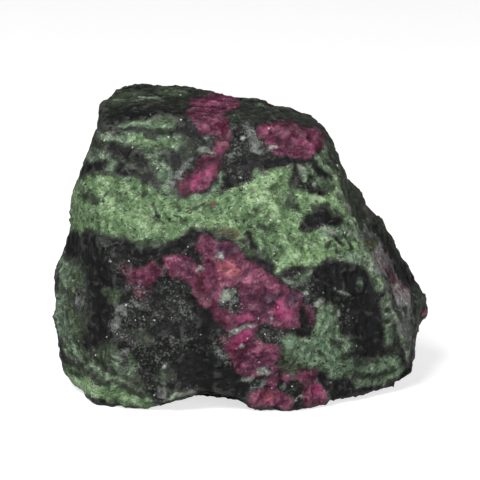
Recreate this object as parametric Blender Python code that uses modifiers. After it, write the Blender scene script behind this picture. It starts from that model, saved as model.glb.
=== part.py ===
"""A rough chunk of ruby in zoisite: one broken piece of rock, standing on its own foot.

The chunk starts as the hull of the corners where its broken faces meet. Hollow scars, where
flakes came away, are cut from the hull with ellipsoids. Its edges are then worn round, the
hackly break of the rock is raised on every face, and the foot is levelled where it touches the
surface that the stone rests on. The patches of ruby, green zoisite and black hornblende are
colour in one solid rock, so they have no shapes of their own here.

Lengths are in millimetres until the last step. +X is to the stone's right as its broad front
face is looked at, +Y runs from the front face to the back, and +Z is up.
"""

import bmesh
import bpy
from mathutils import Matrix, Vector, noise

NAME = "ruby_in_zoisite"
MM = 0.001
SEED = 7

# The corners where the broken faces meet, as (x, y, z).
CROWN = [
    (-25.0, 6.0, 50.6),
    (-23.4, 11.0, 52.6),
    (-17.0, 17.5, 52.8),
    (-8.6, 18.0, 52.0),
    (2.7, 15.0, 48.9),
    (8.6, 12.0, 48.5),
    (12.4, 10.0, 47.7),
    (14.8, 7.0, 46.0),
]
RIGHT_EDGE = [
    (14.6, 4.0, 43.6),
    (28.2, 11.0, 23.8),
    (31.0, 13.0, 18.0),
    (34.8, 15.0, 12.6),
    (34.8, 15.0, 9.6),
    (32.0, 10.0, 2.0),
]
LEFT_EDGE = [
    (-31.4, -2.0, 2.0),
    (-32.2, 0.0, 5.2),
    (-33.7, 1.0, 20.4),
    (-31.7, 1.0, 24.4),
    (-28.7, 2.0, 34.0),
    (-26.8, 2.0, 39.6),
    (-25.0, 2.0, 47.2),
]
FRONT_SHOULDER = [
    (-24.0, -4.0, 48.4),
    (-10.3, -7.0, 49.6),
    (0.0, -8.0, 48.6),
    (10.4, -7.0, 48.0),
    (14.3, -3.0, 46.4),
]
RIDGE = [
    (16.6, -5.0, 40.6),
    (19.7, -8.0, 32.8),
    (23.3, -9.5, 24.7),
    (26.6, -8.5, 17.7),
    (29.2, -4.5, 8.6),
    (30.4, 0.5, 3.1),
]
FRONT_FACE = [
    (-27.0, -6.0, 35.1),
    (-23.8, -13.0, 27.5),
    (-23.1, -15.5, 12.0),
    (-6.8, -16.5, 32.1),
    (8.5, -17.0, 26.9),
    (-6.8, -20.3, 13.6),
    (8.5, -20.0, 12.5),
    (20.8, -12.5, 14.0),
]
FOOT_Z = 0.2
FOOT = [
    (27.6, 5.0, FOOT_Z),
    (26.0, -6.3, FOOT_Z),
    (21.0, -10.8, FOOT_Z),
    (9.2, -17.8, FOOT_Z),
    (1.8, -17.8, FOOT_Z),
    (-14.2, -17.4, FOOT_Z),
    (-25.5, -13.0, FOOT_Z),
    (-29.0, -3.5, FOOT_Z),
    (-27.0, 10.0, FOOT_Z),
    (-15.0, 19.0, FOOT_Z),
    (20.0, 20.5, FOOT_Z),
]
BACK = [
    (-28.5, 14.0, 26.0),
    (-18.5, 22.0, 44.0),
    (-8.0, 24.5, 24.0),
    (4.0, 20.5, 44.0),
    (13.0, 16.5, 40.0),
    (25.0, 22.5, 17.0),
]

# Scars that flakes left: (middle of the scar on the block, outward direction, width, height, depth).
SCARS = {
    "arch_under_the_front": ((-6.0, -14.0, 0.2), (0.0, -0.35, -0.94), 17.0, 18.0, 2.3),
    "flake_beside_the_ruby": ((-8.0, -20.0, 10.0), (-0.1, -1.0, -0.1), 21.0, 19.0, 1.3),
    "ledge_under_the_top_ruby": ((9.0, -10.6, 42.6), (0.0, -1.0, 0.2), 15.0, 4.0, 1.4),
    "fold_down_the_left": ((-24.6, -12.6, 20.0), (-0.55, -0.83, 0.0), 7.0, 26.0, 1.2),
    "flake_by_the_ridge": ((19.5, -12.6, 19.0), (0.5, -0.86, 0.1), 14.0, 19.0, 1.0),
    "dish_in_the_top": ((-3.0, 6.0, 50.6), (0.05, -0.1, 1.0), 34.0, 18.0, 1.2),
    "undercut_below_the_nub": ((33.2, 10.0, 4.8), (1.0, -0.2, -0.1), 19.0, 11.0, 3.2),
    "notch_in_the_left_edge": ((-30.2, 0.5, 29.8), (-1.0, -0.3, 0.0), 17.0, 13.0, 1.7),
    "slope_above_the_nub": ((21.4, 6.0, 33.4), (0.82, 0.1, 0.56), 20.0, 15.0, 1.4),
    "break_on_the_left_back": ((-21.0, 17.0, 14.0), (-0.6, 0.8, 0.0), 34.0, 42.0, 2.4),
    "break_on_the_back": ((8.0, 22.4, 16.0), (0.15, 1.0, 0.1), 44.0, 38.0, 2.2),
    "break_high_on_the_back": ((-8.0, 21.5, 42.0), (-0.1, 0.95, 0.3), 34.0, 18.0, 1.4),
    "hollow_under_the_foot": ((-1.0, 3.0, 0.2), (0.0, 0.0, -1.0), 40.0, 24.0, 1.5),
}
SCAR_CURVE = 4.0

VOXEL = 0.75
WEAR_PASSES = 5
WEAR_PER_PASS = 0.5
TRIANGLES = 9600

# The relief of the broken faces: (size of the feature, height or lean).
SWELL = (14.0, 1.0)
LUMPS = (5.5, 0.6)
COARSE_CHIPS = (7.0, 0.17)
FINE_CHIPS = (3.0, 0.16)
NEXT_CHIP = 3.7

# The middle shade of the stone, between its green, its black and its ruby.
STONE_COLOUR = (0.105, 0.125, 0.095, 1.0)
STONE_ROUGHNESS = 0.55
SMOOTH_BELOW = 0.6


def clear_scene():
    for obj in list(bpy.data.objects):
        bpy.data.objects.remove(obj)


def new_collection(name):
    collection = bpy.data.collections.new(name)
    bpy.context.scene.collection.children.link(collection)
    return collection


def new_object(name, bm, collection):
    mesh = bpy.data.meshes.new(name)
    bm.to_mesh(mesh)
    bm.free()
    obj = bpy.data.objects.new(name, mesh)
    collection.objects.link(obj)
    return obj


def stone_material():
    material = bpy.data.materials.new("Ruby in zoisite")
    material.use_nodes = True
    surface = material.node_tree.nodes["Principled BSDF"]
    surface.inputs["Base Color"].default_value = STONE_COLOUR
    surface.inputs["Roughness"].default_value = STONE_ROUGHNESS
    surface.inputs["Metallic"].default_value = 0.0
    return material


def block(corners, collection):
    """The hull of the corners."""
    bm = bmesh.new()
    for corner in corners:
        bm.verts.new(corner)
    hull = bmesh.ops.convex_hull(bm, input=bm.verts)
    inside = [v for v in hull["geom_interior"] if isinstance(v, bmesh.types.BMVert)]
    bmesh.ops.delete(bm, geom=inside, context="VERTS")
    bmesh.ops.recalc_face_normals(bm, faces=bm.faces)
    return new_object(NAME, bm, collection)


def scar_cutter(name, middle, outward, width, height, depth, collection):
    """An ellipsoid outside the block, whose lowest cap is the scar's width, height and depth."""
    outward = Vector(outward).normalized()
    half_depth = SCAR_CURVE * depth
    spread = (1.0 - (1.0 - 1.0 / SCAR_CURVE) ** 2) ** -0.5
    half_sizes = (spread * width / 2, spread * height / 2, half_depth)
    place = Matrix.Translation(Vector(middle) + outward * (half_depth - depth))
    turn = outward.to_track_quat("Z", "Y").to_matrix().to_4x4()
    bm = bmesh.new()
    bmesh.ops.create_icosphere(bm, subdivisions=4, radius=1.0)
    bm.transform(place @ turn @ Matrix.Diagonal((*half_sizes, 1.0)))
    cutter = new_object(name, bm, collection)
    cutter.hide_render = True
    cutter.display_type = "WIRE"
    return cutter


def cut_scars(stone, cutters):
    for name, scar in SCARS.items():
        cut = stone.modifiers.new(name, "BOOLEAN")
        cut.operation = "DIFFERENCE"
        cut.object = scar_cutter(name, *scar, cutters)


def wear_edges(stone):
    """An even mesh over the whole block, with its edges rounded off."""
    even = stone.modifiers.new("even mesh", "REMESH")
    even.mode = "VOXEL"
    even.voxel_size = VOXEL
    wear = stone.modifiers.new("worn edges", "SMOOTH")
    wear.factor = WEAR_PER_PASS
    wear.iterations = WEAR_PASSES


def apply_modifiers(obj):
    graph = bpy.context.evaluated_depsgraph_get()
    mesh = bpy.data.meshes.new_from_object(obj.evaluated_get(graph))
    obj.modifiers.clear()
    obj.data = mesh


def chips(point, size, lean):
    """Flat chips of the given size, each leaning its own way."""
    place = point / size
    centre = noise.voronoi(place)[1][0]
    return size * lean * (place - centre).dot(noise.noise_vector(centre * NEXT_CHIP))


def relief(point):
    """How far the broken surface stands out at a point, in millimetres."""
    swell = SWELL[1] * noise.noise(point / SWELL[0])
    lumps = LUMPS[1] * noise.noise(point / LUMPS[0])
    return swell + lumps + chips(point, *COARSE_CHIPS) + chips(point, *FINE_CHIPS)


def break_faces(stone):
    """Raises the hackly break of the rock along the worn block's own normals."""
    places = [(vertex.co.copy(), vertex.normal.copy()) for vertex in stone.data.vertices]
    for vertex, (point, normal) in zip(stone.data.vertices, places):
        vertex.co = point + normal * relief(point)


def thin_out(stone):
    thin = stone.modifiers.new("fewer triangles", "DECIMATE")
    thin.ratio = TRIANGLES / (2 * len(stone.data.polygons))


def level_foot(stone):
    """Cuts the foot off flat at the height of the surface under it, and closes the cut."""
    bm = bmesh.new()
    bm.from_mesh(stone.data)
    everything = bm.verts[:] + bm.edges[:] + bm.faces[:]
    down = (0.0, 0.0, -1.0)
    cut = bmesh.ops.bisect_plane(
        bm, geom=everything, plane_co=(0.0, 0.0, 0.0), plane_no=down, clear_outer=True
    )
    rim = [edge for edge in cut["geom_cut"] if isinstance(edge, bmesh.types.BMEdge)]
    bmesh.ops.triangle_fill(bm, use_beauty=True, edges=rim, normal=down)
    bmesh.ops.triangulate(bm, faces=bm.faces)
    bm.to_mesh(stone.data)
    bm.free()


def base_centre(stone):
    """The middle of the stone's box, at the height of its foot."""
    points = [vertex.co for vertex in stone.data.vertices]
    low = [min(point[axis] for point in points) for axis in range(3)]
    high = [max(point[axis] for point in points) for axis in range(3)]
    return Vector(((low[0] + high[0]) / 2, (low[1] + high[1]) / 2, low[2]))


def broken_stone(stones, cutters):
    """The whole stone, in millimetres, where the corners put it."""
    corners = CROWN + RIGHT_EDGE + LEFT_EDGE + FRONT_SHOULDER + RIDGE + FRONT_FACE + FOOT + BACK
    stone = block(corners, stones)
    cut_scars(stone, cutters)
    wear_edges(stone)
    apply_modifiers(stone)
    break_faces(stone)
    thin_out(stone)
    apply_modifiers(stone)
    level_foot(stone)
    return stone


def main():
    clear_scene()
    noise.seed_set(SEED)
    stone = broken_stone(new_collection("Ruby in zoisite"), new_collection("Scar cutters"))
    stone.data.transform(Matrix.Scale(MM, 4) @ Matrix.Translation(-base_centre(stone)))
    stone.data.materials.append(stone_material())
    stone.data.shade_smooth()
    stone.data.set_sharp_from_angle(angle=SMOOTH_BELOW)


main()
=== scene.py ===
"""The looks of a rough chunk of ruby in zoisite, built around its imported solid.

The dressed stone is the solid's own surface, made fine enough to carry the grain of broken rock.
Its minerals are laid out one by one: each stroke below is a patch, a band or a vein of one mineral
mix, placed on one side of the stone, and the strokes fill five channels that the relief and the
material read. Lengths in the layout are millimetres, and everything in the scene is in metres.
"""

import math

import bmesh
import bpy
import numpy as np
from mathutils import Matrix, Vector, noise


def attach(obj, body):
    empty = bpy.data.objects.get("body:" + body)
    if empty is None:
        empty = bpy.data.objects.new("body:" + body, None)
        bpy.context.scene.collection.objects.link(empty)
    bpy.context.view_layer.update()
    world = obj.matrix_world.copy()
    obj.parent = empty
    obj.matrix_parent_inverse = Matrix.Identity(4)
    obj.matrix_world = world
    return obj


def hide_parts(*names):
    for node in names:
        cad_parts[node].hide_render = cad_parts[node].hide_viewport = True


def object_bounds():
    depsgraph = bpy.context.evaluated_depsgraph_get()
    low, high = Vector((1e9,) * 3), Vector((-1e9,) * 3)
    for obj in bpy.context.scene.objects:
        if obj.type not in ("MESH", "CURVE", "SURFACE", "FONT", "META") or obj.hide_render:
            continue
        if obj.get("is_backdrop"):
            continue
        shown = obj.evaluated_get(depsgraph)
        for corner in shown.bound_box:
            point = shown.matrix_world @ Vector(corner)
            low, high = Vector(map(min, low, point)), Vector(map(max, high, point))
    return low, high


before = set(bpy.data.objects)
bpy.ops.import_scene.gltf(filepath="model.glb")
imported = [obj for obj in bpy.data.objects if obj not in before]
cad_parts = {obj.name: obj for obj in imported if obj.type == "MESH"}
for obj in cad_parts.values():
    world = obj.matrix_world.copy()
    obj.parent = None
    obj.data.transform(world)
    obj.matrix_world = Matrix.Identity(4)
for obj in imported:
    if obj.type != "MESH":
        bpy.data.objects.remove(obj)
cad_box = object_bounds()

STONE = "ruby_in_zoisite"
MM = 0.001

# How the stone is looked at: straight at its front, from a little above.
TARGET = Vector((-0.00047, -0.00211, 0.0267))
DISTANCE = 0.5
ELEVATION = 12.0
FIELD_WIDTH = 0.08496
SENSOR = 36.0
CLIP = (0.05, 20.0)

# The dressed mesh, and the gentle swells and hollows that bring it to the true outline: the
# middle, the radius and the height, in millimetres.
VOXEL = 0.4 * MM
SMOOTH_PASSES = 6
SWELLS = {
    "right shoulder": ((20.0, 2.5, 34.5), 6.5, 1.3),
    "under the upper ruby": ((15.6, 0.6, 42.8), 4.0, -0.6),
    "middle of the top": ((4.2, 9.0, 49.4), 5.0, -0.8),
    "left edge": ((-25.4, 3.9, 45.5), 6.0, -0.45),
    "left corner": ((-32.2, 1.9, 12.2), 4.0, -0.6),
    "foot on the right": ((28.5, -1.7, 1.8), 4.5, -0.7),
    "foot on the left": ((-28.9, -2.2, 0.8), 4.0, 0.5),
}

# Each side of the stone: (azimuth, elevation) it is looked at from, in degrees.
SIDES = {
    "back": (180.0, 8.0),
    "under": (0.0, -90.0),
    "left": (-90.0, 8.0),
    "right": (90.0, 8.0),
    "top": (0.0, 90.0),
    "front": (0.0, ELEVATION),
}

# A mineral mix sets the channels. green and ruby are the shares of zoisite and ruby, and black
# hornblende is the rest. pale is the share of pale grains, dark deepens the tone, and warm turns
# it to orange above 0 and to purple below. None leaves a channel as it lies.
CHANNELS = ("green", "ruby", "pale", "dark", "warm")
MIXES = {
    "dark rock": (0.04, 0, 0.25, 0.55, 0),
    "hornblende": (0, 0, 0, 0.95, 0),
    "salted": (0.05, 0, 0.5, 0.4, 0),
    "grey rock": (0.1, 0, 0.8, 0.25, 0),
    "schist": (0.18, 0, 0.08, 0.7, 0),
    "bark": (0.22, 0, 0.35, 0.6, 0.3),
    "ash": (0.12, 0, 0.95, 0.1, 0),
    "blush": (0.05, 0.33, 1, 0.05, 0),
    "slate": (0.25, 0, 0.3, 0.5, 0),
    "moss": (0.5, 0, 0.2, 0.55, 0),
    "darkgreen": (0.25, 0, 0.05, 0.8, 0),
    "greygreen": (0.6, 0, 0.6, 0.3, -0.8),
    "lowgreen": (0.9, 0, 0.45, 0.3, -0.6),
    "zoisite": (1, 0, 0.4, 0.25, 0),
    "bright": (1.1, 0, 0.65, 0, 0),
    "ridge": (0.5, 0, 0.8, 0.15, 0),
    "olive": (0.6, 0, 0.25, 0.6, 1),
    "pale": (0.35, 0, 0.95, 0, -0.2),
    "white": (0.2, 0.1, 1.25, 0, 0),
    "faint": (0, 0.5, 0.55, 0.45, 0),
    "ruby": (0, 1, 0.35, 0.4, 0),
    "pink": (0, 1, 0.55, 0.15, 0),
    "magenta": (0, 1.2, 0.4, 0.1, 0),
    "mauve": (0, 0.9, 0.55, 0.35, -0.35),
    "garnet": (0, 1, 0.2, 0.55, 0),
    "crimson": (None, 1, 0.1, 0.9, None),
    "orange": (None, 1, 0.5, 0.1, 0.9),
    "plum": (None, 1, None, 0.6, -1),
}

# The strokes of each side, in the order they are laid: a mix, then its strokes. A stroke is a list
# of the points it runs through, as (millimetres to the right, millimetres up, half width), on the
# plane through the target that faces the side.
FRONT = [
    # the dark rock that the rest lies in
    ("dark rock", [(0, 0, 60)]),
    # the top face, layered
    ("schist", [(-24.5, 22, 2.2), (-16, 24.6, 3), (-7, 24, 3), (2, 22.7, 2.6), (10.5, 21.6, 2),
        (14, 19.5, 1.2)]),
    ("moss", [(-22.5, 25, 0.7), (-17.5, 26.3, 0.8)], [(-14, 26.6, 0.7), (-10, 26.2, 0.6)]),
    ("hornblende", [(-24.2, 21.6, 0.7), (-19.5, 22.2, 0.6), (-15, 22.9, 0.5), (-10, 22.8, 0.5)]),
    ("slate", [(-1.4, 19.8, 1.4), (0, 21.2, 1.1)]),
    # the green patches high on the left, and the dark band that crosses them
    ("greygreen", [(-25.2, 18.4, 1), (-22, 18, 1), (-19, 15.2, 0.9), (-15.4, 14.6, 0.9)]),
    ("lowgreen", [(-21, 20.3, 0.5), (-16.5, 20.6, 0.8), (-12, 20.6, 0.8)]),
    ("moss", [(-15, 21.5, 0.7), (-12, 21.3, 0.8)]),
    ("hornblende", [(-21.2, 19.3, 0.5), (-18.5, 19.6, 0.4)]),
    ("lowgreen", [(-20.2, 18, 0.9), (-17.3, 17.4, 1.7), (-14, 16.9, 1.8), (-10.9, 17.2, 1.4)]),
    ("zoisite", [(-18.6, 17.5, 0.7), (-15.6, 16.8, 0.9), (-12.4, 17.1, 0.7)]),
    ("darkgreen", [(-16.4, 18.1, 0.3), (-14.8, 17.8, 0.3)], [(-12.9, 16, 0.4)], [(-15.8, 18.9, 0.7),
        (-12.5, 19.4, 0.6)]),
    ("pale", [(-24, 19, 0.4), (-22, 18.3, 0.5)]),
    ("bark", [(-25.5, 17.2, 0.9), (-21.8, 15.6, 1.4), (-18.6, 14.3, 1.6), (-16.5, 12, 1.3),
        (-15.6, 11, 0.8)]),
    ("hornblende", [(-22.6, 16.4, 0.6), (-18, 15, 0.8), (-17, 13.6, 0.7)]),
    ("moss", [(-18, 15.9, 0.5), (-14, 15.4, 0.6)]),
    ("hornblende", [(-17.8, 10.9, 0.5), (-16.2, 11.4, 0.6)]),
    ("greygreen", [(-26.5, 15.2, 1.1), (-23, 13.2, 1.1)]),
    ("hornblende", [(-27.3, 13, 0.8), (-24.5, 13.3, 0.5)], [(-27.8, 10.9, 1.1), (-26, 11.2, 0.6)]),
    ("greygreen", [(-14.5, 14, 1.3), (-13, 11, 1.7), (-12.3, 8.8, 1.2)]),
    ("slate", [(-9.5, 17.5, 1.4), (-8.8, 14, 1.4), (-9.2, 12.2, 0.8)]),
    ("grey rock", [(-8.6, 13.6, 0.9), (-10.6, 12.3, 0.9)]),
    ("hornblende", [(-11.8, 15.2, 0.6), (-10.8, 14.2, 0.8), (-11.5, 12.7, 0.4)], [(-8.2, 18.4, 0.9),
        (-10.3, 19.6, 0.9)]),
    # the main green band
    ("zoisite", [(-29.5, 5.2, 3.6), (-25, 6.7, 5.2), (-20.4, 5.9, 5.4), (-16.5, 4.6, 4.9),
        (-11.5, 3.9, 3.5), (-6.2, 5.3, 3.1), (-1, 5.4, 4.3), (4, 5, 7.4), (9.5, 4.2, 8.8),
        (14, 5.5, 7.6), (16.5, 1.5, 4.6), (19.6, -1.9, 2.2), (21.4, -4.2, 1)]),
    ("bright", [(-24, 9.3, 1.4), (-22.5, 5, 1.3)], [(-19, 3.8, 1.5), (-15, 2.4, 1.2)], [(2, 8.3, 2),
        (6, 9.4, 1.8), (6.5, 5, 1.5)], [(10.5, 2, 0.9), (12.5, -1, 1.6), (15, 0.2, 0.8)],
        [(6.5, 11.8, 1), (11, 7.4, 0.8), (15.6, 7.2, 0.7)], [(6.9, -5.2, 0.9), (9, -3, 1.4),
        (13, -3.2, 1.3), (17, -1.9, 1.1)]),
    ("moss", [(-27.6, 8.8, 1), (-26, 7.2, 0.8)]),
    ("darkgreen", [(-24.4, 7, 0.4), (-23.8, 8.4, 0.3)], [(-15.5, 6.3, 0.3), (-14.3, 4.2, 0.4)],
        [(-9.2, 4.8, 0.2), (-6.4, 6.2, 0.3)], [(-21.6, 8.2, 0.4)], [(-17, 8.4, 0.4)], [(2.2, 5.6, 0.4)],
        [(3.4, 2.6, 0.5), (4.3, 1.9, 0.4)]),
    ("moss", [(9.6, 12.8, 0.6), (9.3, 9.4, 0.6), (8.2, 6.4, 0.9)]),
    ("greygreen", [(10, 12.2, 1.4), (13.5, 12, 1.6), (16.4, 11.2, 0.9)]),
    ("moss", [(13.4, 9.6, 0.9), (16, 9.4, 0.7)]),
    ("salted", [(9.8, 11, 0.8), (10.6, 9.5, 1), (12.6, 9.6, 0.7)]),
    ("pale", [(11.2, 12.6, 0.7)]),
    ("hornblende", [(13.2, 12.8, 0.5), (14.2, 11.5, 0.6), (15.8, 10.9, 0.5)], [(9.8, 12.9, 0.3),
        (9.6, 10.8, 0.5)], [(10.9, 10.2, 0.4)], [(12.4, 11, 0.4)]),
    ("pale", [(13, 9.9, 0.4)]),
    ("hornblende", [(12.2, 8.7, 0.5), (14.9, 8.5, 0.4)]),
    ("darkgreen", [(8.2, 6.8, 0.4), (9.6, 5.6, 0.4)]),
    ("salted", [(12, 2.3, 1.2), (14.5, 3, 1.3), (17.3, 3.3, 1)]),
    ("hornblende", [(11.6, 2.3, 0.7), (12.7, 4.1, 1.2), (14.6, 4.9, 1.5), (15.8, 3.7, 1),
        (17.3, 3.2, 0.6)]),
    ("darkgreen", [(12.6, 6, 0.4), (15.8, 6.3, 0.4)]),
    ("pale", [(13.8, 7.2, 0.6)]),
    ("greygreen", [(15.5, 1.3, 1.3), (18.7, 1.2, 1.2)]),
    ("pale", [(14.8, 2, 0.5), (16.8, 1.5, 0.5)]),
    ("hornblende", [(17, 0.4, 0.3), (18.2, -0.8, 0.3)]),
    ("darkgreen", [(18.8, 0.9, 0.3), (20, -1.4, 0.3)], [(17, -2.2, 0.3), (18.2, -2.6, 0.3)],
        [(15.2, -1.6, 0.4), (16, -0.7, 0.3)]),
    ("greygreen", [(18.3, -3.7, 1.2), (20.8, -3.4, 1.1), (22.8, -5.8, 1), (24.4, -8.8, 0.7)]),
    ("pale", [(18, -3.9, 0.9)]),
    ("hornblende", [(6.5, -2.6, 0.3)], [(7, -3.8, 0.3)], [(7, -0.8, 0.3)]),
    ("moss", [(0.3, -0.8, 1), (3, -3, 1.3), (5.3, -3.8, 1)]),
    ("hornblende", [(1.2, 0.6, 0.4), (2.8, -1, 0.5)], [(1.5, -3.2, 0.5), (4, -4.2, 0.8), (5.6, -5.2, 1)]),
    # the speckled black between the upper rubies
    ("salted", [(-0.5, 19, 1.5), (0.8, 15.5, 2.6), (0, 12, 2.4), (-3, 9.3, 1)]),
    ("grey rock", [(1.6, 19.3, 1.2), (3.2, 16.5, 1.4)], [(-1.7, 15.4, 0.8)]),
    ("hornblende", [(1.8, 12.8, 0.9), (0.9, 14.8, 0.6)], [(2.6, 14.6, 0.7), (8, 13.9, 0.6),
        (13, 13.8, 0.5)], [(-2.8, 11.5, 0.9), (-2.2, 9.4, 0.6)]),
    ("white", [(0.3, 17.7, 0.4)]),
    ("grey rock", [(-5.6, 18, 1.2)]),
    ("pale", [(-7, 15.7, 0.6), (-5.2, 15.3, 0.5)]),
    # the ruby chain across the top
    ("ruby", [(-1.6, 24.4, 1.4), (-4.4, 23.7, 2.2), (-7, 22.6, 2.5), (-6.2, 20.9, 2.3), (-4, 20.2, 1.9)]),
    # pink spots on the chain, painted highlights where its crystals catch the light
    ("pink", [(-6.3, 24.3, 0.7), (-4.6, 24.2, 0.5)], [(-2.6, 24.5, 0.7)]),
    ("crimson", [(-8.2, 22.2, 0.6)]),
    ("garnet", [(-2.9, 18.9, 1.1), (-3.2, 17.1, 1.3), (-3.7, 15.4, 0.9)], [(-6.8, 21.4, 1.4),
        (-3.8, 20, 0.9)]),
    ("grey rock", [(-10.6, 11.8, 0.9), (-11.6, 9.6, 0.7)]),
    ("garnet", [(-9.6, 9, 1.4), (-7.6, 10.3, 1.8), (-5.5, 12.1, 2), (-5.3, 13, 1.7)]),
    # crimson across the top of the oval ruby, painted shade over its upper part, and crimson at its lower
    # left end
    ("crimson", [(-5.9, 13.3, 1.3), (-4.6, 13.5, 0.9)], [(-10, 8.6, 0.9)]),
    ("magenta", [(-8.2, 9.8, 0.7), (-6.8, 10.9, 1), (-5.6, 11.9, 0.7)]),
    ("pink", [(-7.4, 9.9, 0.5), (-6.4, 10.6, 0.4)]),
    ("greygreen", [(-3.3, 11.5, 0.5), (-3.8, 9.8, 0.5), (-6.3, 8.2, 0.4), (-8.5, 7.2, 0.4)]),
    ("orange", [(-4.6, 6.8, 0.4)]),
    # the big ruby high on the right
    ("ruby", [(4.6, 19, 1.3), (7.5, 18.2, 2.8), (11.3, 17.2, 2.7), (13.2, 18.2, 1.8)], [(9.9, 15.6, 1.1),
        (12.4, 15.2, 1.2)]),
    ("crimson", [(8, 19.8, 0.8), (11, 19, 0.6)], [(6.2, 18, 1), (7.6, 17.3, 0.6)], [(14.2, 16.8, 0.8)],
        [(11.2, 15.6, 0.7)]),
    ("pink", [(12.4, 17.6, 1.2)]),
    ("mauve", [(6.6, 16.2, 1), (8.8, 15.9, 0.8)]),
    ("white", [(5.5, 16.3, 0.3), (6.4, 16.6, 0.3)]),
    ("greygreen", [(15.4, 17.5, 0.5), (15.2, 14.8, 1), (13.8, 14.2, 0.7)]),
    # the left face
    ("slate", [(-30.5, -2, 1.5), (-29.5, -9, 2.5), (-28, -16, 2)]),
    ("greygreen", [(-31.2, -4.5, 1.3), (-30.3, -7.2, 1.5)]),
    ("moss", [(-29, -6, 1.3), (-29.3, -8.6, 1.1)]),
    ("greygreen", [(-32, -10.5, 1.4), (-31, -13.5, 1.8), (-30.5, -17, 1.5)]),
    ("moss", [(-29.2, -13, 1.1), (-28.6, -16.5, 1.3)]),
    ("grey rock", [(-28.3, -9, 0.8), (-27.9, -11.4, 0.9)]),
    ("hornblende", [(-29.2, -1.2, 1.8), (-26.3, -2, 1.9), (-24.8, -7, 2.3), (-24.8, -13, 1.9),
        (-25.8, -16.8, 1.4)], [(-21.2, -1.3, 1.2), (-13.3, -1.8, 1.1), (-9.3, -0.8, 1.3),
        (-8.3, 0.8, 0.9)]),
    ("moss", [(-17.5, -0.6, 0.7), (-14, -0.9, 0.7)], [(-23, -9.5, 0.9), (-22.5, -11, 0.7)]),
    # the speckled black of the lower left
    ("salted", [(-17.5, -14.5, 4.5), (-13.5, -18.6, 5), (-11, -15.5, 4.2), (-15.5, -22.5, 3.6)]),
    ("slate", [(-17, -17, 1.6)], [(-13.5, -24.5, 1.6)]),
    ("grey rock", [(-20.8, -12.6, 1.5), (-22.5, -15.3, 1.1)], [(-18.8, -11.3, 1)]),
    ("faint", [(-12.6, -6.4, 1.1), (-11.4, -8.4, 0.9)]),
    ("salted", [(-13.6, -5.2, 0.8), (-12.8, -7.5, 1.1), (-11, -9.8, 1.3), (-11.3, -12, 1.5),
        (-10.4, -13.9, 1.6)]),
    ("grey rock", [(-14, -26.8, 1.3)]),
    ("hornblende", [(-6.2, -13, 1.6), (-5.7, -17.7, 1.4)], [(-9.5, -22.5, 2.6), (-4.4, -23.7, 3.2),
        (0.5, -26, 1.8)], [(-15.5, -15.8, 0.9), (-9.2, -16, 0.9)]),
    # the faint ruby on the left
    ("faint", [(-20.2, -5.4, 1.2), (-18.2, -7.2, 2), (-16.8, -9.2, 1.4)]),
    ("ruby", [(-18.4, -6.2, 1.3), (-16.2, -5.7, 1.5)]),
    ("crimson", [(-15.6, -5.2, 0.9), (-14.4, -5.6, 0.9)]),
    # the rubies across the middle
    ("ruby", [(-12, -4, 1.3), (-10.5, -4.3, 1.9), (-9, -5.8, 1.6), (-8, -7.5, 0.8)]),
    ("mauve", [(-9, -4.8, 1.2), (-8.6, -7, 0.9)]),
    ("ruby", [(-5.9, -0.8, 1.6), (-4.6, -2.2, 2), (-2.2, -2.2, 1.8), (-0.3, -3.4, 1.3)]),
    ("pink", [(-5.2, -0.5, 0.7)]),
    ("plum", [(-3.8, -1.6, 0.9), (-1.8, -2.4, 1.1), (-0.6, -2.2, 0.6)]),
    ("olive", [(-4.4, 2, 0.6), (-2.5, 1.7, 0.8), (-0.6, 0.5, 0.6)]),
    ("ruby", [(-6.6, -8.2, 2.3), (-5.2, -6, 2.4), (-2.2, -5.6, 2.7), (1, -6.4, 2.8), (3.4, -7.6, 2.4),
        (5.5, -9.5, 2.2), (8, -10.8, 2.3), (9.5, -11, 1.6)], [(-6, -10.6, 1.5), (-4.3, -9.3, 1.6)]),
    ("mauve", [(1.8, -10.8, 2.2), (4, -12.5, 2.6), (7.5, -13.3, 2.4), (9.3, -14.4, 1.6)]),
    ("orange", [(-2.8, -4.8, 1), (-1, -5.6, 1.2), (-1.3, -4.2, 0.8)]),
    # pink on the rubies, the first stroke a painted highlight where the crystals catch the light
    ("pink", [(0.6, -7.9, 0.8), (2.4, -6.6, 1)], [(-1.9, -8, 0.6)]),
    ("crimson", [(-7.3, -8.8, 0.9), (-7, -7, 0.6)], [(6.5, -11.1, 0.8), (7.1, -9.6, 0.5)]),
    ("plum", [(9.4, -10.2, 1.3)], [(4.6, -9.4, 0.8), (6.2, -10.8, 1.1)]),
    ("crimson", [(-0.7, -7.9, 0.4), (0.4, -8.7, 0.3)]),
    ("magenta", [(7.3, -12.3, 1.7), (8.6, -13.2, 1.3)]),
    ("pink", [(8.6, -14.4, 0.9)]),
    ("crimson", [(-4.4, -11.8, 1.3), (-3.2, -13.4, 1.5), (-0.9, -14.3, 1.4), (1.8, -14, 1.2)]),
    ("magenta", [(-0.6, -14, 0.6), (1.4, -13.6, 0.7)]),
    ("crimson", [(-1.6, -15.6, 0.8)]),
    ("faint", [(-3.6, -12.2, 0.9)]),
    ("grey rock", [(-2.4, -9.9, 1.1), (-1, -11, 1.4), (-1.4, -12.4, 0.7)]),
    ("ash", [(-1.8, -10.2, 0.7)]),
    ("pale", [(-3.6, -11.3, 0.5), (-2.6, -9.8, 0.6), (-0.9, -9.4, 0.5)]),
    ("hornblende", [(-0.9, -12, 0.5)]),
    ("white", [(-3.9, -2.8, 0.6), (-3, -3.3, 0.5)], [(-7.3, -5.4, 0.5), (-6.4, -5.3, 0.5)],
        [(5.4, -13.8, 0.4)], [(11.6, -9.4, 0.4)]),
    ("faint", [(12.3, -12.3, 1.3), (12.2, -14.6, 1.5)]),
    ("crimson", [(13.6, -13.7, 0.4), (12.8, -15.2, 0.5)]),
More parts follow.
